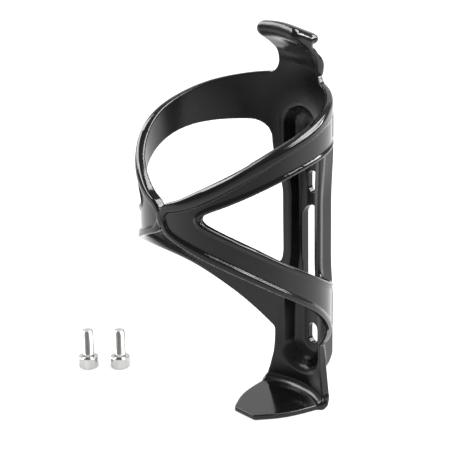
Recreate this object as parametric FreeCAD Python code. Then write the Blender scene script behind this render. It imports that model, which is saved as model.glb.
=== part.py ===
import FreeCAD, Part
import math
import os
from FreeCAD import Vector

# A moulded bicycle water bottle cage and its two mounting screws.
#
# The cage is one injection moulding: a wrap of thin sheet around the bottle, a
# ribbed trough of a spine that bolts to the bicycle, a hook over the bottle and
# a foot under it. The origin is the middle of the two bolt slots, on the back
# face of the spine. +Z runs up along the bottle, +Y points at the bicycle's tube
# and -Y is the open front, where the four arms cross.

os.makedirs("parts", exist_ok=True)

# ---- driving dimensions, mm -------------------------------------------------
BORE_R = 34.0          # inside of the wrap, which the bottle springs open
WEB = 2.6              # sheet thickness of the wrap
BEAD = 4.0             # radial thickness of the bead along the top of the band
BEAD_HEIGHT = 5.6      # how far that bead reaches down the band
RIM = 3.5              # radial thickness of the rim along the lower arms
RIM_HEIGHT = 3.0
AXIS_Y = -43.4         # the bottle's axis, from the back face of the spine

BOLT_SPACING = 64.0    # the standard pair of threaded bosses on a bicycle frame
SLOT_R = 2.7           # half the slot's width, for an M5 screw
SLOT_LENGTH = 9.0
OPENING_W = 10.2       # the lightening opening between the two slots
OPENING_LENGTH = 45.4

TROUGH_FLOOR = 2.3     # thickness of the spine's floor
MOUTH_HALF = 9.3       # half-width of the trough where it opens to the bottle
FLOOR_HALF = 7.4       # half-width of its floor
MOUTH_TOP = 66.0
MOUTH_BOTTOM = -47.3
FLANGE_HALF = 12.9     # half-width of the spine with its flanges

NECK_HALF = 10.8       # half-width of the neck and the hook
EDGE_R = 0.6           # rounding along the edges of the hook
FOOT_BOTTOM = -57.5
FOOT_T = 2.3

SCREW_D = 5.0          # M5 x 12 socket-head cap screw
SCREW_L = 12.0
PITCH = 0.8
HEAD_D = 8.5
HEAD_H = 5.0
HEX_AF = 4.0
HEX_DEPTH = 2.6
SCREW_SPOTS = [(-81.2, -57.6), (-71.9, -47.8)]


# ---- helpers ---------------------------------------------------------------
def on_side(y_from_axis, z):
    """A point of a side outline, measured from the bottle's axis."""
    return Vector(0, AXIS_Y + y_from_axis, z)


def around(deg, z, r=BORE_R + WEB / 2):
    """A side outline's point at an angle around the bottle from the front."""
    return on_side(-r * math.cos(math.radians(deg)), z)


def curve(points):
    """A smooth edge through points."""
    c = Part.BSplineCurve()
    c.interpolate(points)
    return c.toShape()


def polyline(points):
    return [Part.makeLine(a, b) for a, b in zip(points, points[1:])]


def slab(edges, direction):
    """A closed outline, extruded to both sides of its own plane."""
    face = Part.Face(Part.Wire(Part.__sortEdges__(edges)))
    face.translate(direction * -0.5)
    return face.extrude(direction)


ACROSS = Vector(140, 0, 0)


def cylinder(r, z0, z1):
    return Part.makeCylinder(r, z1 - z0, Vector(0, AXIS_Y, z0))


def stadium(y, half, bottom, top, corner):
    """A rounded upright rectangle in the plane at y, as a wire."""
    c = corner
    k = c * math.sqrt(0.5)
    arcs = []
    for sx, sz, cx, cz in (
        (1, 1, half - c, top - c),
        (1, -1, half - c, bottom + c),
        (-1, -1, c - half, bottom + c),
        (-1, 1, c - half, top - c),
    ):
        a = Vector(cx + sx * c, y, cz)
        m = Vector(cx + sx * k, y, cz + sz * k)
        b = Vector(cx, y, cz + sz * c)
        arcs.append((a, m, b))
    ends = [Part.Arc(*a).toShape() for a in arcs]
    lines = [
        Part.makeLine(arcs[0][0], arcs[1][0]),
        Part.makeLine(arcs[1][2], arcs[2][2]),
        Part.makeLine(arcs[2][0], arcs[3][0]),
        Part.makeLine(arcs[3][2], arcs[0][2]),
    ]
    edges = [e for e in ends + lines if e.Length > 1e-6]
    return Part.Wire(Part.__sortEdges__(edges))


# ---- the wrap's outlines, as angles around the bottle and heights ------------
BAND_TOP = [(0, 40.9), (10, 43.7), (30, 50.7), (60, 60.4), (90, 68.4), (120, 73.8), (148, 76.6)]
ARM_BOTTOM = [(0, 29.5), (17, 26.4), (42, 19.8), (70, 10.2), (99, -1.6), (125, -14.4), (144, -24.4), (158, -32.0)]
WINDOW_TOP = [(26, 40.2), (40, 43.9), (67, 50.8), (98, 56.0), (130, 57.2), (146, 54.4), (155, 45.0)]
WINDOW_BOTTOM = [(26, 37.6), (44, 32.9), (69, 24.0), (95, 14.2), (122, 4.6), (146, 0.6), (155, 9.0)]
FRONT_Y = -38.2        # where the side outlines end, in front of the node
NOTCH = 4.0            # how far the outlines dip towards the node's middle there
BACK_Y = 35.2          # where the side outlines of the arms run out into the spine


def outline(rows, lift=0.0):
    return [around(deg, z + lift) for deg, z in rows]


def arms_outline():
    """Upper band and lower arms, between their outlines, on both sides at once."""
    top = outline(BAND_TOP)
    low = outline(ARM_BOTTOM)
    front = [on_side(FRONT_Y, top[0].z - NOTCH), on_side(FRONT_Y, low[0].z + NOTCH / 2)]
    back = [on_side(BACK_Y, top[-1].z), on_side(BACK_Y, low[-1].z)]
    edges = [curve(top), curve(low)]
    edges += polyline([top[0], front[0], front[1], low[0]])
    edges += polyline([top[-1], back[0], back[1], low[-1]])
    return slab(edges, ACROSS).cut(windows())


def windows():
    """The long opening between the band and the lower arm on each side."""
    top = outline(WINDOW_TOP)
    low = outline(WINDOW_BOTTOM)
    nose = Part.Arc(top[0], around(24.4, 38.9), low[0]).toShape()
    edges = [curve(top), curve(low), nose]
    edges += polyline([top[-1], low[-1]])
    return slab(edges, ACROSS)


def strip(rows, z_from, z_to, thickness, dip):
    """A thicker band of the wrap that follows one outline."""
    a = outline(rows, z_from)
    b = outline(rows, z_to)
    edges = [curve(a), curve(b)]
    front = [on_side(FRONT_Y, a[0].z - dip), on_side(FRONT_Y, b[0].z - dip)]
    edges += polyline([a[0], front[0], front[1], b[0]])
    edges += polyline([a[-1], b[-1]])
    thick = cylinder(BORE_R + thickness, -60.0, 105.0)
    return thick.common(slab(edges, ACROSS)).cut(windows())


# ---- the spine ---------------------------------------------------------------
def spine_outline():
    """The part of the wrap behind the bottle: flanges, neck root and tail."""
    right = [
        Vector(NECK_HALF, 0, 86.0),
        Vector(NECK_HALF, 0, 80.0),
        Vector(11.9, 0, 77.8),
        Vector(14.0, 0, 76.8),
        Vector(14.0, 0, 70.0),
        Vector(FLANGE_HALF, 0, 60.0),
        Vector(FLANGE_HALF, 0, -33.0),
        Vector(FLANGE_HALF + 0.3, 0, -40.0),
        Vector(15.8, 0, -50.0),
        Vector(18.4, 0, FOOT_BOTTOM),
    ]
    left = [Vector(-p.x, 0, p.z) for p in reversed(right)]
    ring = right + left + right[:1]
    return slab(polyline(ring), Vector(0, 90, 0))


def trough_outside():
    front = stadium(AXIS_Y + 32.6, FLANGE_HALF - 1.1, -50.0, 75.0, 6.0)
    back = stadium(0.0, 9.2, -46.8, 66.0, 4.0)
    return Part.makeLoft([front, back], True, True)


def trough_inside():
    mouth_y = AXIS_Y + 30.0
    front = stadium(mouth_y, MOUTH_HALF + 0.5, MOUTH_BOTTOM - 0.6, MOUTH_TOP + 1.0, MOUTH_HALF + 0.4)
    floor = stadium(-TROUGH_FLOOR, FLOOR_HALF, -44.0, 61.0, FLOOR_HALF - 0.1)
    return Part.makeLoft([front, floor], True, True)


def upright_slot(z, half_width, length):
    """A round-ended slot through the spine's floor."""
    run = length / 2 - half_width
    block = Part.makeBox(2 * half_width, 20, 2 * run, Vector(-half_width, -10, z - run))
    for end in (-run, run):
        block = block.fuse(Part.makeCylinder(half_width, 20, Vector(0, -10, z + end), Vector(0, 1, 0)))
    return block.removeSplitter()


def hook():
    """The neck above the band and the lip that bends forward over the bottle."""
    under = [(34.6, 76), (34.4, 81.0), (32.6, 85.4), (29.6, 88.6), (26.0, 90.9), (22.4, 93.0)]
    over = [(22.8, 99.0), (27.0, 98.5), (31.2, 96.0), (34.4, 91.6), (37.2, 85.0), (36.6, 76)]
    under = [on_side(y, z) for y, z in under]
    over = [on_side(y, z) for y, z in over]
    tip = Part.Arc(under[-1], on_side(20.8, 96.2), over[0]).toShape()
    edges = [curve(under), tip, curve(over)]
    edges += polyline([over[-1], on_side(36.4, 70), on_side(34.6, 70), under[0]])
    body = slab(edges, Vector(2 * NECK_HALF, 0, 0))
    lip = [e for e in body.Edges if e.BoundBox.XLength < 1e-3 and e.Length > 8 and e.BoundBox.ZMax > 90]
    return body.makeFillet(EDGE_R, lip)


# ---- the foot ----------------------------------------------------------------
def foot():
    """A tongue of plate under the bottle, coved up into the wall behind it."""
    def at(x, y):
        return Vector(x, AXIS_Y + y, FOOT_BOTTOM)

    toe, mid, heel = (6.0, 2.5), (13.3, 16.0), (18.2, 29.0)
    near = Part.Arc(at(*toe), at(*mid), at(*heel)).toShape()
    far = Part.Arc(at(-toe[0], toe[1]), at(-mid[0], mid[1]), at(-heel[0], heel[1])).toShape()
    edges = [near, far]
    edges += polyline([at(-toe[0], toe[1]), at(*toe)])
    edges += polyline([at(*heel), at(18.2, 40), at(-18.2, 40), at(-heel[0], heel[1])])
    plate = Part.Face(Part.Wire(Part.__sortEdges__(edges))).extrude(Vector(0, 0, FOOT_T))
    plate = plate.common(cylinder(BORE_R + 1.2, FOOT_BOTTOM, FOOT_BOTTOM + FOOT_T))

    cove = 5.0
    top = FOOT_BOTTOM + FOOT_T - 0.2
    wall = BORE_R + 0.4
    a = Vector(wall, 0, top)
    b = Vector(wall, 0, top + cove)
    c = Vector(wall - cove, 0, top)
    m = Vector(wall - cove * (1 - math.sqrt(0.5)), 0, top + cove * (1 - math.sqrt(0.5)))
    section = Part.Face(Part.Wire([Part.makeLine(c, a), Part.makeLine(a, b), Part.Arc(b, m, c).toShape()]))
    section.translate(Vector(0, AXIS_Y, 0))
    ring = section.revolve(Vector(0, AXIS_Y, 0), Vector(0, 0, 1), 360)
    keep = Part.makeBox(32.0, 30, 20, Vector(-16.0, AXIS_Y + 22, FOOT_BOTTOM))
    return plate.fuse(ring.common(keep))


def cage_body():
    prism = arms_outline().fuse(spine_outline())
    body = prism.common(cylinder(BORE_R + WEB, FOOT_BOTTOM, 105.0))
    body = body.fuse(strip(BAND_TOP, -BEAD_HEIGHT, 0.0, BEAD, NOTCH))
    body = body.fuse(strip(ARM_BOTTOM, 0.0, RIM_HEIGHT, RIM, -NOTCH / 2))
    body = body.fuse(trough_outside())
    body = body.cut(cylinder(BORE_R, -70.0, 110.0))
    body = body.cut(trough_inside())
    body = body.fuse(hook())
    body = body.fuse(foot())
    for z in (-BOLT_SPACING / 2, BOLT_SPACING / 2):
        body = body.cut(upright_slot(z, SLOT_R, SLOT_LENGTH))
    body = body.cut(upright_slot(0.0, OPENING_W / 2, OPENING_LENGTH))
    return body.removeSplitter()


# ---- the screws --------------------------------------------------------------
def screw(x, y):
    """A socket-head cap screw that stands on its head, thread up."""
    r = SCREW_D / 2
    root = r - 0.49
    turns = int((SCREW_L - 1.6) / PITCH)
    z = HEAD_H
    profile = [(0, 0), (HEAD_D / 2 - 0.3, 0), (HEAD_D / 2, 0.3), (HEAD_D / 2, z - 0.35)]
    profile += [(HEAD_D / 2 - 0.35, z), (r, z), (r, z + 0.5)]
    start = z + SCREW_L - 0.6 - turns * PITCH
    profile.append((r, start))
    for i in range(turns):
        profile += [(root, start + (i + 0.45) * PITCH), (root, start + (i + 0.55) * PITCH)]
        profile.append((r, start + (i + 1) * PITCH))
    profile += [(root, z + SCREW_L), (0, z + SCREW_L)]
    points = [Vector(px, 0, pz) for px, pz in profile]
    face = Part.Face(Part.Wire(polyline(points + points[:1])))
    solid = face.revolve(Vector(0, 0, 0), Vector(0, 0, 1), 360)
    across = HEX_AF / 2 / math.cos(math.pi / 6)
    corners = [
        Vector(across * math.cos(math.radians(60 * i)), across * math.sin(math.radians(60 * i)), 0)
        for i in range(6)
    ]
    hexagon = Part.Face(Part.Wire(polyline(corners + corners[:1])))
    solid = solid.cut(hexagon.extrude(Vector(0, 0, HEX_DEPTH)))
    solid.translate(Vector(x, y, FOOT_BOTTOM))
    return solid


def save(name, shape):
    solids = shape.Solids
    box = shape.BoundBox
    print(name, "solids", len(solids), "valid", shape.isValid(), "volume", round(shape.Volume, 1))
    print("   box", [round(v, 2) for v in (box.XMin, box.YMin, box.ZMin, box.XMax, box.YMax, box.ZMax)])
    print("   centre of mass", [round(v, 2) for v in solids[0].CenterOfMass])
    solids[0].exportStep("parts/%s.step" % name)


save("cage_body", cage_body())
for number, (sx, sy) in enumerate(SCREW_SPOTS, 1):
    save("mounting_screw_%d" % number, screw(sx, sy))
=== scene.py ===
import math

import bpy
import numpy as np
from mathutils import Matrix, Vector


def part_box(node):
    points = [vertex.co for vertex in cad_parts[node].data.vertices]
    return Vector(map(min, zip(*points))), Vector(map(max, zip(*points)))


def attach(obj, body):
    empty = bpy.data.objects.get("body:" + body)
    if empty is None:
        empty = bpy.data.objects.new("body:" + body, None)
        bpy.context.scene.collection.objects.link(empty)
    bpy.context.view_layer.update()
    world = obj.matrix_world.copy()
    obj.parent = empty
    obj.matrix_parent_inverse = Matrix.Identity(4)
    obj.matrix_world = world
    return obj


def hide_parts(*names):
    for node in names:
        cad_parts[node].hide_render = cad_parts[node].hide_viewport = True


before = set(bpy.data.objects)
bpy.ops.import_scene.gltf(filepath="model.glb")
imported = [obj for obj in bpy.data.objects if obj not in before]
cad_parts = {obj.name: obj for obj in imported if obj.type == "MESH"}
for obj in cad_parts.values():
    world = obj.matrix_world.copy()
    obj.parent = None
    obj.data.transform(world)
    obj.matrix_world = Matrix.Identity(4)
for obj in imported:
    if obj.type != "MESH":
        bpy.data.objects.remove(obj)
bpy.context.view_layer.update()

# A moulded bicycle bottle cage and two loose screws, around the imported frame.
# The cage is one closed mesh, polygonised from a distance field in millimetres,
# with the bottle's axis at x = y = 0 and the frame's own heights.

MM = 0.001
body_lo, body_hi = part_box("cage_body")
FLOOR_Z = body_lo.z / MM
BACK_Y = 43.4                       # the spine's flat back, from the bottle's axis
AXIS = Vector((0.0, body_hi.y / MM - BACK_Y, 0.0))


# ---- helpers for the distance field -------------------------------------------
def smooth_table(points, column=1, step=0.1):
    """Natural cubic spline through given points, as a fine lookup table."""
    x = np.array([p[0] for p in points], float)
    y = np.array([p[column] for p in points], float)
    n = len(x)
    h = np.diff(x)
    a = np.zeros((n, n))
    b = np.zeros(n)
    a[0, 0] = a[-1, -1] = 1.0
    for i in range(1, n - 1):
        a[i, i - 1], a[i, i], a[i, i + 1] = h[i - 1], 2 * (h[i - 1] + h[i]), h[i]
        b[i] = 6 * ((y[i + 1] - y[i]) / h[i] - (y[i] - y[i - 1]) / h[i - 1])
    m = np.linalg.solve(a, b)
    t = np.arange(x[0], x[-1] + step, step)
    k = np.clip(np.searchsorted(x, t, side="right") - 1, 0, n - 2)
    u, w = t - x[k], x[k + 1] - t
    v = (m[k] * w**3 + m[k + 1] * u**3) / (6 * h[k])
    v += (y[k] / h[k] - m[k] * h[k] / 6) * w + (y[k + 1] / h[k] - m[k + 1] * h[k] / 6) * u
    return t, v


class Line:
    """An outline of the wrap: height and slope by angle around the bottle."""

    def __init__(self, points, radius=35.3):
        self.t, self.v = smooth_table(points)
        slope = np.gradient(self.v, np.radians(self.t) * radius)
        self.n = np.sqrt(1 + slope**2)

    def above(self, deg, z):
        """Distance above the line, measured square to it."""
        return (z - np.interp(deg, self.t, self.v)) / np.interp(deg, self.t, self.n)


def either(a, b, r):
    """Union with a round fillet of radius r in the inner corner."""
    return np.maximum(r, np.minimum(a, b)) - np.hypot(np.maximum(r - a, 0), np.maximum(r - b, 0))


def both(a, b, r):
    """Intersection with its outer corner rounded to radius r."""
    return np.minimum(-r, np.maximum(a, b)) + np.hypot(np.maximum(r + a, 0), np.maximum(r + b, 0))


def ramp(x, lo, hi):
    """0 up to lo and 1 from hi on, with a smooth step between."""
    t = np.clip((x - lo) / (hi - lo), 0, 1)
    return t * t * (3 - 2 * t)


def rounded_path(points, per=6):
    """Closed smooth outline through points (Catmull-Rom)."""
    p = np.array(points, float)
    out = []
    for i in range(len(p)):
        p0, p1, p2, p3 = (p[(i + k) % len(p)] for k in (-1, 0, 1, 2))
        for s in np.arange(per) / per:
            out.append(0.5 * (2 * p1 + (p2 - p0) * s + (2 * p0 - 5 * p1 + 4 * p2 - p3) * s**2
                              + (3 * p1 - p0 - 3 * p2 + p3) * s**3))
    return np.array(out)


def outline_distance(path, u, v):
    """Signed distance to a closed outline, negative inside."""
    best = np.full(u.shape, 1e9)
    inside = np.zeros(u.shape, bool)
    for (ax, ay), (bx, by) in zip(path, np.roll(path, -1, axis=0)):
        ex, ey = bx - ax, by - ay
        wx, wy = u - ax, v - ay
        t = np.clip((wx * ex + wy * ey) / (ex * ex + ey * ey), 0, 1)
        best = np.minimum(best, (wx - ex * t) ** 2 + (wy - ey * t) ** 2)
        crosses = (ay > v) != (by > v)
        if crosses.any():
            x_at = ax + (v - ay) * ex / (ey if abs(ey) > 1e-12 else 1e-12)
            inside ^= crosses & (u < x_at)
    return np.sqrt(best) * np.where(inside, -1, 1)


# ---- the wrap's outlines -------------------------------------------------------
# One bead runs along the top of a side's band, crosses the front and becomes the
# rim under the other side's lower arm: angle from the front, height, half-width.
BEAD = [
    (-172, -36.8, 1.2), (-158, -30.1, 1.2), (-136, -18.4, 1.2), (-118, -9.2, 1.2), (-99, -0.1, 1.2),
    (-77, 8.9, 1.2), (-61, 15.2, 1.3), (-44, 21.1, 1.5), (-30, 25.1, 1.5), (-19, 27.9, 1.4), (-9, 30.5, 1.3),
    (-3.5, 33.2, 1.4), (0, 37.0, 1.5), (3.5, 40.3, 1.6), (10, 42.5, 1.9), (20, 45.0, 2.5), (30, 48.1, 2.7),
    (45, 53.3, 2.35), (60, 58.6, 2.05), (75, 63.3, 1.8), (90, 66.5, 1.8), (105, 69.1, 2.0), (118, 70.7, 2.5),
    (130, 71.7, 2.9), (150, 73.1, 3.4), (172, 74.0, 3.8),
]
WINDOW_TOP = [(0, 32.8), (24, 39.7), (40, 43.9), (67, 50.8), (98, 56.0), (125, 57.1), (180, 57.1)]
WINDOW_LOW = [
    (0, 45.6), (24, 38.6), (39, 34.2), (59, 27.8), (77, 20.9), (95, 14.2), (122, 4.7), (150, -1.5),
    (180, -6.0),
]

BORE = 34.0                         # radius of the wrap's inside
WEB = 36.6                          # outer radius of its plain sheet
BEAD_R = 38.0                       # of the band's bead
RIM_R = WEB + 1.1                   # of the rim under the lower arms
LIP_R = 37.2                        # of the lip around each window
LIP_HALF = 0.85                     # half of its width
TAIL_EXTRA = 1.4                    # extra thickness of the wall at the heel
ARM_FILLET, NECK_FILLET = 2.6, 3.2  # where the lower arms and the bands meet the spine

bead_line = Line([p[:2] for p in BEAD])
bead_half = smooth_table(BEAD, 2)
window_top = Line(WINDOW_TOP)
window_low = Line(WINDOW_LOW)

# Half-width of the spine's sheet, by height, before the waist beside the windows.
SPINE_HALF = [
    (-60.0, 18.0), (-57.5, 17.6), (-54.5, 16.9), (-49.6, 15.6), (-45.0, 14.5), (-40.0, 13.5), (-33.0, 12.8),
    (0.0, 12.7), (60.0, 13.0), (72.0, 12.6), (78.0, 11.4), (82.0, 10.8), (90.0, 10.8),
]
spine_half = smooth_table(SPINE_HALF, step=0.25)
NECK_TOP = 83.0
WAIST_DEPTH = 3.0                   # how far each side draws in at the waist


def waist(z):
    """1 where the spine is narrow, between the windows, and 0 towards its ends."""
    return ramp(z, -16.0, 4.0) * (1 - ramp(z, 26.0, 50.0))


def shell(flat, r, outer, edge):
    """A piece of the wrap out to a radius, from its flat outline's distance; the bore is cut later."""
    return both(flat, r - outer, edge)


def wrap(x, y, z, r, deg):
    """The bands, the lower arms and the spine's sheet, solid inwards; r and deg are polar."""
    up = bead_line.above(deg, z)            # above the middle of the band's bead
    down = bead_line.above(-deg, z)         # above the middle of the lower arm's rim
    hw_up = np.interp(deg, *bead_half)
    hw_down = np.interp(-deg, *bead_half)

    hole = both(window_top.above(deg, z), -window_low.above(deg, z), 3.2)
    half = np.interp(z, *spine_half) - WAIST_DEPTH * waist(z)
    hole = both(hole, half - x, 3.2 + 5.6 * ramp(z, 20, 44))
    sheet = np.maximum(np.maximum(up, -down), -hole)

    # in front the bead is crowned; beside the bottle it is flat, with a rounder top edge
    side = ramp(deg, 50, 80)
    crown = np.minimum(np.abs(up) / hw_up, 1.2) ** 2 * ramp(hw_up, 1.6, 2.8) * (1 - side)
    outer = BEAD_R - 1.25 * crown - 1.1 * ramp(deg, 88, 125)
    edge = 1.0 + side * np.where(up > 0, 0.8, -0.4)
    bead = shell(np.abs(up) - hw_up, r, outer, edge)
    rim = shell(np.abs(down) - hw_down, r, RIM_R - 0.9 * ramp(deg, 95, 125), 0.9)
    lip = shell(np.abs(hole - LIP_HALF) - LIP_HALF, r, LIP_R, 0.8)
    lip = np.maximum(lip, np.maximum(up, -down))

    spine = np.maximum(both(x - half, z - NECK_TOP, 2.0), -y)
    arms = either(sheet, spine, ARM_FILLET)
    arms = np.where(z > 60, np.minimum(arms, either(up - hw_up, spine, NECK_FILLET)), arms)
    body = shell(arms, r, WEB + TAIL_EXTRA * ramp(-z, 28, 40) * (y > 20), 0.7)
    body = either(body, either(bead, rim, 1.0), 0.5)
    return either(body, lip, 0.6)


# ---- the spine's trough ----------------------------------------------------------
TROUGH_FRONT = 34.5                 # where its sides leave the wrap, from the bottle's axis
FLOOR_Y = 40.5                      # its floor's inside
TROUGH_HALF, TROUGH_LOW, TROUGH_TOP = 12.0, -47.8, 77.4
POCKET_LOW, POCKET_TOP = -37.0, 56.2
# Heights of the middles of the end arcs of the bolt slots and of the opening between them.
UPPER_SLOT, LOWER_SLOT, OPENING = (30.6, 34.6), (-34.6, -30.9), (-17.6, 17.6)
SLOT_HALF, OPENING_HALF = 2.7, 5.1
SLOT_START = 38.0                   # they cut only what lies further back than this


def rounded_rect(x, z, half, low, high, c):
    """Upright rectangle about the middle plane, with corners of radius c."""
    qx = x - half + c
    qz = np.abs(z - (low + high) / 2) - (high - low) / 2 + c
    return np.hypot(np.maximum(qx, 0), np.maximum(qz, 0)) + np.minimum(np.maximum(qx, qz), 0) - c


def stadium(x, z, half, low, high):
    """Round-ended upright shape, by the middles of its two end arcs."""
    return np.hypot(x, z - np.clip(z, low, high)) - half


def trough(x, y, z):
    """The outside of the trough, which narrows towards its flat back."""
    t = np.clip((y - TROUGH_FRONT) / (BACK_Y - TROUGH_FRONT), -0.3, 1.1)
    w = waist(z)
    half = TROUGH_HALF - 2.3 * w - (2.6 - 1.3 * w) * t
    high = TROUGH_TOP - 11.0 * np.clip(t, 0, 2) ** 1.7
    low = TROUGH_LOW + 2.9 * t
    block = rounded_rect(x, z, half, low, high, 5.0)
    return np.maximum(both(block, y - BACK_Y, 1.1 + 2.2 * ramp(-z, 38, 43)), 26.0 - y)


def cavity(x, y, z):
    """The pocket inside the trough, for the heads of the mounting screws."""
    t = np.clip((y - BORE) / (FLOOR_Y - BORE), -0.3, 1.2)
    w = waist(z)
    half = (9.1 + 0.9 * ramp(-z, 10, 30) - 2.1 * w) * (1 - t) + (7.0 - 1.7 * w) * t
    outline = stadium(x, z, half, POCKET_LOW + 2.0 * t, POCKET_TOP - 2.2 * t)
    return np.maximum(both(outline, y - FLOOR_Y, 2.6), 20.0 - y)


def slots(x, z):
    small = np.minimum(stadium(x, z, SLOT_HALF, *UPPER_SLOT), stadium(x, z, SLOT_HALF, *LOWER_SLOT))
    return np.minimum(small, stadium(x, z, OPENING_HALF, *OPENING))


# ---- the hook ----------------------------------------------------------------------
# Its section on the middle plane: distance behind the bottle's axis, height.
HOOK = [
    (34.5, 77.6), (34.2, 80.0), (34.0, 82.2), (33.7, 84.3), (32.9, 86.2), (31.2, 88.0), (28.4, 89.9),
    (25.2, 91.7), (22.6, 93.4), (21.2, 95.2), (21.2, 97.3), (22.6, 98.9), (24.8, 98.9), (28.0, 97.6),
    (30.8, 96.3), (32.4, 95.5), (33.3, 94.3), (33.0, 92.9), (32.2, 91.9), (32.3, 90.9), (33.9, 89.3),
    (35.4, 87.4), (36.4, 85.6), (36.9, 83.4), (36.8, 81.0), (36.5, 79.2), (35.6, 78.1),
]
hook_path = rounded_path(HOOK)
HOOK_HALF = 10.9                    # half of its width
LIP_WIDER, LIP_CROWN = 0.9, 1.1     # the lip over the bottle is wider than the neck and crowned
ROD_Y, ROD_Z, ROD_R = 32.0, 94.6, 1.8      # the small cross rod behind the lip


def hook(x, y, z):
    """The hook, worked out only near it, as a strip of its section and a rod."""
    out = np.full(x.shape, 9.0)
    near = (z > 72) & (y > 14) & (x < 17)
    u, v, w = x[near], y[near], z[near]
    bow = BORE - np.sqrt(BORE**2 - np.minimum(u, 16.0) ** 2)
    keep = np.clip((36.8 - v) / 3.2, 0, 1) * (1 - 0.6 * ramp(w, 84, 94))
    lip = ramp(w, 88, 93)
    side = outline_distance(hook_path, v + bow * keep, w - LIP_CROWN * lip * (1 - (u / 11.5) ** 2))
    tongue = both(side, u - HOOK_HALF - LIP_WIDER * lip, 1.1 + 2.4 * lip)
    from_rod = np.hypot(v + 0.04 * u - ROD_Y, w + 0.06 * u - ROD_Z)
    rod = np.hypot(from_rod, np.maximum(u - 9.8, 0)) - ROD_R
    out[near] = either(tongue, rod, 0.8)
    return out


# ---- the foot ----------------------------------------------------------------------
FOOT_TOE = 2.5                      # its front end
# Half-width of the plate, by distance behind the bottle's axis.
FOOT_HALF = [
    (-5.0, 1.2), (FOOT_TOE, 5.9), (9.6, 10.7), (16.8, 13.9), (22.5, 15.4), (29.0, 16.7), (40.0, 18.6),
]
foot_half = smooth_table(FOOT_HALF)
FOOT_T = 2.3                        # thickness of its plate
FOOT_COVE, HEEL_ROUND = 3.2, 4.6    # radii inside and outside its bend
WRAP_LOW = -40.0                    # the wall goes on below this only at the heel
RECESS_DEPTH = 1.15                 # of the spine's inside between the windows


def foot_and_tail(x, y, z, r, wall, box):
    """The tongue under the bottle, coved up into the wall behind it."""
    below = FLOOR_Z - z
    plate = both(x - np.interp(y, *foot_half), FOOT_TOE - y, 0.7)
    plate = both(plate, np.abs(below + FOOT_T / 2) - FOOT_T / 2, 0.45)
    plate = np.maximum(plate, r - BORE - 1.5)
    bend = either(plate, wall, FOOT_COVE)
    heel = np.where(y < 20, below, both(r - WEB - TAIL_EXTRA, below, HEEL_ROUND))
    return both(bend, either(heel, box, 1.4), 0.4)


def cage(x, y, z):
    """Signed distance to the whole moulding, in mm from the bottle's axis."""
    x = np.abs(x)
    r = np.hypot(x, y)
    deg = np.degrees(np.arctan2(x, -y))
    box = trough(x, y, z)
    body = either(wrap(x, y, z, r, deg), box, 1.4)
    recess = waist(z) * (1 - ramp(x, 10, 18)) * (y > 0)
    under = (1 - ramp(bead_line.above(-deg, z), 0.3, 2.6)) * (1 - ramp(deg, 100, 125))
    body = both(body, BORE + RECESS_DEPTH * recess - r, 0.7 + 0.9 * recess + 1.2 * under)
    body = np.minimum(np.maximum(body, WRAP_LOW - z), foot_and_tail(x, y, z, r, body, box))
    body = both(body, -cavity(x, y, z), 0.9 + 0.8 * ramp(-z, 10, 30))
    body = np.minimum(body, hook(x, y, z))
    return both(body, -np.maximum(slots(x, z), SLOT_START - y), 0.25)


# ---- polygonising ------------------------------------------------------------------
STEP = 0.6                          # the grid's spacing
LAYERS = 24                         # how many are worked out at once
LOW = np.array([0.0, -39.6, -60.2])
HIGH = np.array([40.2, 45.0, 101.4])


def field():
    """The distance on a grid: one half is worked out, and the other is its mirror image."""
    xs, ys, zs = (np.arange(lo, hi + STEP / 2, STEP) for lo, hi in zip(LOW, HIGH))
    half = np.empty((len(xs), len(ys), len(zs)))
    for k in range(0, len(zs), LAYERS):
        block = zs[k:k + LAYERS]
        half[:, :, k:k + LAYERS] = cage(*np.meshgrid(xs, ys, block, indexing="ij"))
    whole = np.concatenate([half[:0:-1], half])
    return whole, np.array([-xs[-1], ys[0], zs[0]])


CORNERS = [(i, j, k) for i in (0, 1) for j in (0, 1) for k in (0, 1)]


def surface_nets(values, origin):
    """A point in each cell that the surface crosses, and a quad across each edge that it crosses."""
    inside = values < 0
    n = [s - 1 for s in values.shape]
    count = sum(inside[i:i + n[0], j:j + n[1], k:k + n[2]].astype(np.int8) for i, j, k in CORNERS)
    active = (count > 0) & (count < 8)
    cells = np.argwhere(active)
    number = np.full(active.shape, -1, np.int64)
    number[active] = np.arange(len(cells))
    total = np.zeros((len(cells), 3))
    hits = np.zeros(len(cells))
    for a in CORNERS:
        for axis in range(3):
            if a[axis]:
                continue
            b = list(a)
            b[axis] = 1
            fa = values[tuple((cells + a).T)]
            fb = values[tuple((cells + b).T)]
            cross = (fa < 0) != (fb < 0)
            t = np.where(cross, fa / np.where(cross, fa - fb, 1), 0)
            point = cells + np.array(a) + t[:, None] * (np.array(b) - np.array(a))
            total += np.where(cross[:, None], point, 0)
            hits += cross
    verts = total / hits[:, None] * STEP + origin
    quads = []
    for axis in range(3):
        one = [slice(None)] * 3
        two = [slice(None)] * 3
        one[axis], two[axis] = slice(None, -1), slice(1, None)
        a, b = inside[tuple(one)], inside[tuple(two)]
        at = np.argwhere(a != b)
        o1, o2 = (axis + 1) % 3, (axis + 2) % 3
        ring = []
        for d1, d2 in ((0, 0), (1, 0), (1, 1), (0, 1)):
            c = at.copy()
            c[:, o1] -= d1
            c[:, o2] -= d2
            ring.append(number[tuple(c.T)])
        ring = np.stack(ring, 1)
        flip = ~a[tuple(at.T)]
        ring[flip] = ring[flip][:, ::-1]
        quads.append(ring)
    return verts, np.concatenate(quads)


def gradient(p, eps=0.04):
    g = np.empty_like(p)
    for k in range(3):
        d = np.zeros(3)
        d[k] = eps
        g[:, k] = (cage(*(p + d).T) - cage(*(p - d).T)) / (2 * eps)
    return g


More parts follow.
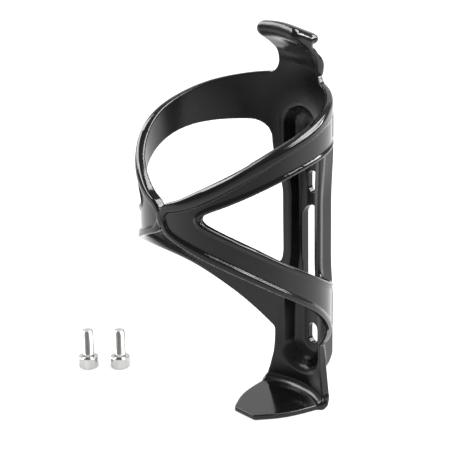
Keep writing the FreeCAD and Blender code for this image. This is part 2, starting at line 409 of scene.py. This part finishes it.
def settle(p, rounds):
    """Moves points onto the surface."""
    for _ in range(rounds):
        g = gradient(p)
        move = cage(*p.T) / np.maximum((g * g).sum(1), 0.2)
        p = p - np.clip(move, -0.3, 0.3)[:, None] * g
    return p


def relax(p, quads, rounds):
    """Evens out the points along the surface."""
    edges = np.concatenate([quads[:, [i, (i + 1) % 4]] for i in range(4)])
    edges = np.concatenate([edges, edges[:, ::-1]])
    degree = np.bincount(edges[:, 0], minlength=len(p))[:, None]
    for _ in range(rounds):
        total = np.stack([np.bincount(edges[:, 0], p[edges[:, 1], k], len(p)) for k in range(3)], 1)
        mean = total / degree
        g = gradient(p)
        g /= np.linalg.norm(g, axis=1)[:, None] + 1e-9
        d = mean - p
        d -= (d * g).sum(1)[:, None] * g
        p = settle(p + 0.6 * d, 1)
    return p


def mesh_object(name, verts, faces, normals=None):
    me = bpy.data.meshes.new(name)
    me.from_pydata(verts.tolist(), [], faces)
    me.polygons.foreach_set("use_smooth", [True] * len(me.polygons))
    me.validate()
    me.update()
    if normals is not None:
        me.normals_split_custom_set_from_vertices(normals.tolist())
    ob = bpy.data.objects.new(name, me)
    bpy.context.scene.collection.objects.link(ob)
    return ob


def build_cage():
    values, origin = field()
    verts, quads = surface_nets(values, origin)
    verts = settle(verts, 3)
    verts = relax(verts, quads, 2)
    verts = settle(verts, 2)
    g = gradient(verts)
    g /= np.linalg.norm(g, axis=1)[:, None] + 1e-9
    print("cage mesh", len(verts), "points", len(quads), "quads, off by", np.abs(cage(*verts.T)).max())
    return mesh_object("bottle_cage", (verts + np.array(AXIS)) * MM, quads.tolist(), g)


# ---- the loose screws ------------------------------------------------------------------
AROUND = 72                         # points around each ring
SHANK_R = 2.5
PITCH, THREAD_DEPTH = 0.8, 0.49
THREAD_START = 6.0                  # height above the floor
RING_STEP = 0.1                     # height between the thread's rings
END_CHAMFER = 0.45
SHARP = math.radians(38)            # edges sharper than this aren't smoothed
# Radius and height up from the floor: the hexagon socket, then the head and the shank's foot.
SOCKET = [(0.9, 2.35), (1.9, 2.4), (2.0, 2.3), (2.0, 0.35), (2.04, 0.12)]
HEAD = [
    (2.45, 0.0), (3.6, 0.0), (3.75, 0.05), (4.18, 0.46), (4.25, 0.62), (4.25, 0.75), (4.25, 2.6), (4.25, 4.6),
    (4.25, 4.72), (4.19, 4.9), (4.05, 4.99), (3.9, 5.0), (2.75, 5.0), (2.6, 5.06), (2.52, 5.2), (2.5, 5.45),
    (2.5, 5.9),
]


def thread_ring(a, z, top):
    """Radii of the thread at a height, around the shank."""
    phase = (z / PITCH - a / (2 * math.pi)) % 1.0
    groove = np.clip(1.15 - np.abs(phase - 0.5) * 2.6, 0, 1)
    fade = min(max((z - THREAD_START) / PITCH, 0.0), 1.0)
    end = SHANK_R - max(z - (top - END_CHAMFER), 0.0) * 0.95
    return np.minimum(SHANK_R - THREAD_DEPTH * fade * groove, end)


def build_screw(name, middle, z0, z1):
    """M5 socket-head cap screw that stands on its head, socket down, as rings of points."""
    a = np.arange(AROUND) * 2 * math.pi / AROUND
    circle = np.ones(AROUND)
    hexagon = 1 / np.cos((a + math.pi / 6) % (math.pi / 3) - math.pi / 6)
    top = z1 - z0
    rings = [(2.3, 0.0 * circle)]
    rings += [(height, radius * hexagon) for radius, height in SOCKET]
    rings += [(height, radius * circle) for radius, height in HEAD]
    z = THREAD_START
    while z < top - 0.08:
        rings.append((z, thread_ring(a, z, top)))
        z += RING_STEP
    rings += [(top, 2.02 * circle), (top, 1.9 * circle), (top - 0.02, 0.0 * circle)]

    verts = np.concatenate([
        np.stack([middle.x + rad * np.cos(a), middle.y + rad * np.sin(a), np.full(AROUND, z0 + height)], 1)
        for height, rad in rings
    ])
    # the first and last rings are single points, so each keeps one vertex
    last = (len(rings) - 1) * AROUND
    faces = []
    for k in range(len(rings) - 1):
        for i in range(AROUND):
            j = (i + 1) % AROUND
            low, high = k * AROUND, (k + 1) * AROUND
            ring = [0 if v < AROUND else min(v, last) for v in (low + i, low + j, high + j, high + i)]
            faces.append([v for n, v in enumerate(ring) if v != ring[n - 1]])
    used = sorted({v for face in faces for v in face})
    index = {v: i for i, v in enumerate(used)}
    ob = mesh_object(name, verts[used] * MM, [[index[v] for v in face] for face in faces])
    ob.data.set_sharp_from_angle(angle=SHARP)
    return ob


# ---- materials -----------------------------------------------------------------------
def new_material(name):
    m = bpy.data.materials.new(name)
    m.use_nodes = True
    nt = m.node_tree
    nt.nodes.clear()
    out = nt.nodes.new("ShaderNodeOutputMaterial")
    bsdf = nt.nodes.new("ShaderNodeBsdfPrincipled")
    nt.links.new(bsdf.outputs[0], out.inputs[0])
    return m, nt, bsdf


def noise(nt, scale, detail=2.0, stretch=(1, 1, 1)):
    """Noise in the piece's own coordinates."""
    place = nt.nodes.new("ShaderNodeTexCoord")
    mapping = nt.nodes.new("ShaderNodeMapping")
    mapping.inputs["Scale"].default_value = stretch
    nt.links.new(place.outputs["Object"], mapping.inputs["Vector"])
    n = nt.nodes.new("ShaderNodeTexNoise")
    n.inputs["Scale"].default_value = scale
    n.inputs["Detail"].default_value = detail
    nt.links.new(mapping.outputs[0], n.inputs["Vector"])
    return n.outputs["Fac"]


def spread(nt, source, lo, hi, a=0.3, b=0.7):
    """A value that runs from lo to hi while the source runs from a to b."""
    r = nt.nodes.new("ShaderNodeMapRange")
    r.inputs["From Min"].default_value = a
    r.inputs["From Max"].default_value = b
    r.inputs["To Min"].default_value = lo
    r.inputs["To Max"].default_value = hi
    nt.links.new(source, r.inputs["Value"])
    return r.outputs[0]


def tint(nt, factor, first, second):
    """A colour between two, by a factor."""
    mix = nt.nodes.new("ShaderNodeMix")
    mix.data_type = "RGBA"
    mix.inputs["A"].default_value = (*first, 1)
    mix.inputs["B"].default_value = (*second, 1)
    nt.links.new(factor, mix.inputs["Factor"])
    return mix.outputs["Result"]


def vector(nt, operation, source, other=None):
    """A vector operation on a socket and a second socket or constant."""
    n = nt.nodes.new("ShaderNodeVectorMath")
    n.operation = operation
    nt.links.new(source, n.inputs[0])
    if isinstance(other, tuple):
        n.inputs[1].default_value = other
    elif other:
        nt.links.new(other, n.inputs[1])
    return n.outputs["Value" if operation == "DOT_PRODUCT" else "Vector"]


def black_plastic():
    m, nt, bsdf = new_material("gloss_black_plastic")
    colour = tint(nt, spread(nt, noise(nt, 60, 3), 0, 1), (0.0022, 0.0023, 0.0022), (0.0042, 0.0044, 0.0042))
    nt.links.new(colour, bsdf.inputs["Base Color"])
    bsdf.inputs["IOR"].default_value = 1.42

    # the side towards the bottle is a little less polished
    place = nt.nodes.new("ShaderNodeNewGeometry")
    from_axis = vector(nt, "SUBTRACT", place.outputs["Position"], tuple(AXIS * MM))
    outward = vector(nt, "NORMALIZE", vector(nt, "MULTIPLY", from_axis, (1, 1, 0)))
    facing = vector(nt, "DOT_PRODUCT", outward, place.outputs["Normal"])
    rough = nt.nodes.new("ShaderNodeMath")
    rough.operation = "ADD"
    nt.links.new(spread(nt, noise(nt, 140, 4), 0.08, 0.14), rough.inputs[0])
    nt.links.new(spread(nt, facing, 0.18, 0.0, -0.8, -0.3), rough.inputs[1])
    nt.links.new(rough.outputs[0], bsdf.inputs["Roughness"])

    peel = nt.nodes.new("ShaderNodeBump")
    peel.inputs["Strength"].default_value = 0.05
    peel.inputs["Distance"].default_value = 0.0006
    nt.links.new(noise(nt, 420, 2), peel.inputs["Height"])
    nt.links.new(peel.outputs[0], bsdf.inputs["Normal"])
    return m


def bright_steel():
    m, nt, bsdf = new_material("bright_stainless_steel")
    bsdf.inputs["Metallic"].default_value = 1.0
    drawn = spread(nt, noise(nt, 500, 3, stretch=(1, 1, 0.15)), 0, 1)
    nt.links.new(tint(nt, drawn, (0.46, 0.455, 0.44), (0.54, 0.535, 0.52)), bsdf.inputs["Base Color"])
    nt.links.new(spread(nt, noise(nt, 900, 3), 0.1, 0.15), bsdf.inputs["Roughness"])
    return m


FLOOR_GLOW = 3.9


def floor_material():
    """A pale floor with painted light: it is partly lit by its own glow, and a painted shade makes it a
    little darker on one side of the object.
    """
    m, nt, bsdf = new_material("pale_floor_painted_light")
    bsdf.inputs["Roughness"].default_value = 0.9
    bsdf.inputs["Specular IOR Level"].default_value = 0.1
    place = nt.nodes.new("ShaderNodeNewGeometry")
    painted_shade_ahead = vector(nt, "DOT_PRODUCT", place.outputs["Position"], (0.75, -0.66, 0.0))
    # painted shade: colour and glow fade darker towards the front right, standing in for less light falling
    # on the floor there
    colour = tint(nt, spread(nt, painted_shade_ahead, 0.0, 1.0, 0.14, 0.34), (0.2, 0.2, 0.2), (0.12, 0.12, 0.12))
    nt.links.new(colour, bsdf.inputs["Base Color"])
    # painted light: the floor glows with its own colour, which fills in the shadows cast on it
    nt.links.new(colour, bsdf.inputs["Emission Color"])
    bsdf.inputs["Emission Strength"].default_value = FLOOR_GLOW
    return m


# ---- the pieces -------------------------------------------------------------------------
plastic = black_plastic()
steel = bright_steel()

cage_ob = build_cage()
cage_ob.data.materials.append(plastic)
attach(cage_ob, "cage")
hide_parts("cage_body")

for number in (1, 2):
    node = "mounting_screw_%d" % number
    lo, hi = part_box(node)
    screw_ob = build_screw("socket_screw_%d" % number, (lo + hi) / 2 / MM, lo.z / MM, hi.z / MM)
    screw_ob.data.materials.append(steel)
    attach(screw_ob, "screw_%d" % number)
    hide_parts(node)

# ---- floor, light and camera ---------------------------------------------------------------
FLOOR_REACH = 6.0                   # metres to each side
WORLD_STRENGTH = 0.3
floor_me = bpy.data.meshes.new("floor")
sides = ((-1, -1), (1, -1), (1, 1), (-1, 1))
corners = [(sx * FLOOR_REACH, sy * FLOOR_REACH, FLOOR_Z * MM) for sx, sy in sides]
floor_me.from_pydata(corners, [], [(0, 1, 2, 3)])
floor_ob = bpy.data.objects.new("floor", floor_me)
bpy.context.scene.collection.objects.link(floor_ob)
floor_me.materials.append(floor_material())

world = bpy.data.worlds.new("studio")
bpy.context.scene.world = world
world.use_nodes = True
background = world.node_tree.nodes["Background"]
background.inputs["Color"].default_value = (1, 1, 1, 1)
background.inputs["Strength"].default_value = WORLD_STRENGTH

TARGET = Vector((0.0, AXIS.y, 26.7)) * MM      # what the lights and the camera face


def area_light(name, direction, distance, size, power, size_y=None, along=None):
    """A soft box that faces the object from a direction, its long side along a vector."""
    data = bpy.data.lights.new(name, "AREA")
    data.energy = power
    data.size = size
    if size_y:
        data.shape = "RECTANGLE"
        data.size_y = size_y
    ob = bpy.data.objects.new(name, data)
    d = Vector(direction).normalized()
    ob.location = TARGET + d * distance
    ob.rotation_euler = d.to_track_quat("Z", "Y").to_euler()
    if along:
        x = Vector(along)
        x = (x - d * x.dot(d)).normalized()
        ob.rotation_euler = Matrix((x, d.cross(x), d)).transposed().to_euler()
    bpy.context.scene.collection.objects.link(ob)


area_light("overhead", (0.27, 0.5, 1.0), 1.8, 1.3, 76)
area_light("left", (-0.85, -0.1, 0.6), 1.3, 0.6, 14, 0.8)
area_light("front_left", (-0.56, -0.42, 0.70), 1.3, 0.5, 8, 0.36)
area_light("backdrop", (-0.72, 0.64, 0.36), 2.4, 3.0, 12, 1.5)
area_light("right_strip", (0.56, 0.52, 0.55), 1.3, 1.5, 24, 0.26, along=(-0.48, 1.1, -0.44))

AZIMUTH = math.radians(48.75)
ELEVATION = math.radians(19.79)
ROLL = math.radians(-0.94)
DISTANCE = 643.2 * MM
WIDTH_THERE = 172.44 * MM           # how much the frame takes in at that distance
SENSOR = 36.0
SHIFT = (-11.37 / 450, -5.0 / 450)

level = math.cos(ELEVATION)
back = Vector((math.sin(AZIMUTH) * level, -math.cos(AZIMUTH) * level, math.sin(ELEVATION)))
right = Vector((math.cos(AZIMUTH), math.sin(AZIMUTH), 0.0))
up = back.cross(right)
right, up = right * math.cos(ROLL) + up * math.sin(ROLL), up * math.cos(ROLL) - right * math.sin(ROLL)
cam = bpy.data.cameras.new("camera")
cam.sensor_width = SENSOR
cam.lens = SENSOR * DISTANCE / WIDTH_THERE
cam.shift_x, cam.shift_y = SHIFT
cam.clip_start = 0.01
cam.clip_end = 50.0
cam_ob = bpy.data.objects.new("camera", cam)
turn = Matrix((right, up, back)).transposed().to_4x4()
turn.translation = TARGET + back * DISTANCE
cam_ob.matrix_world = turn
bpy.context.scene.collection.objects.link(cam_ob)
bpy.context.scene.camera = cam_ob
bpy.context.scene.view_settings.view_transform = "Standard"
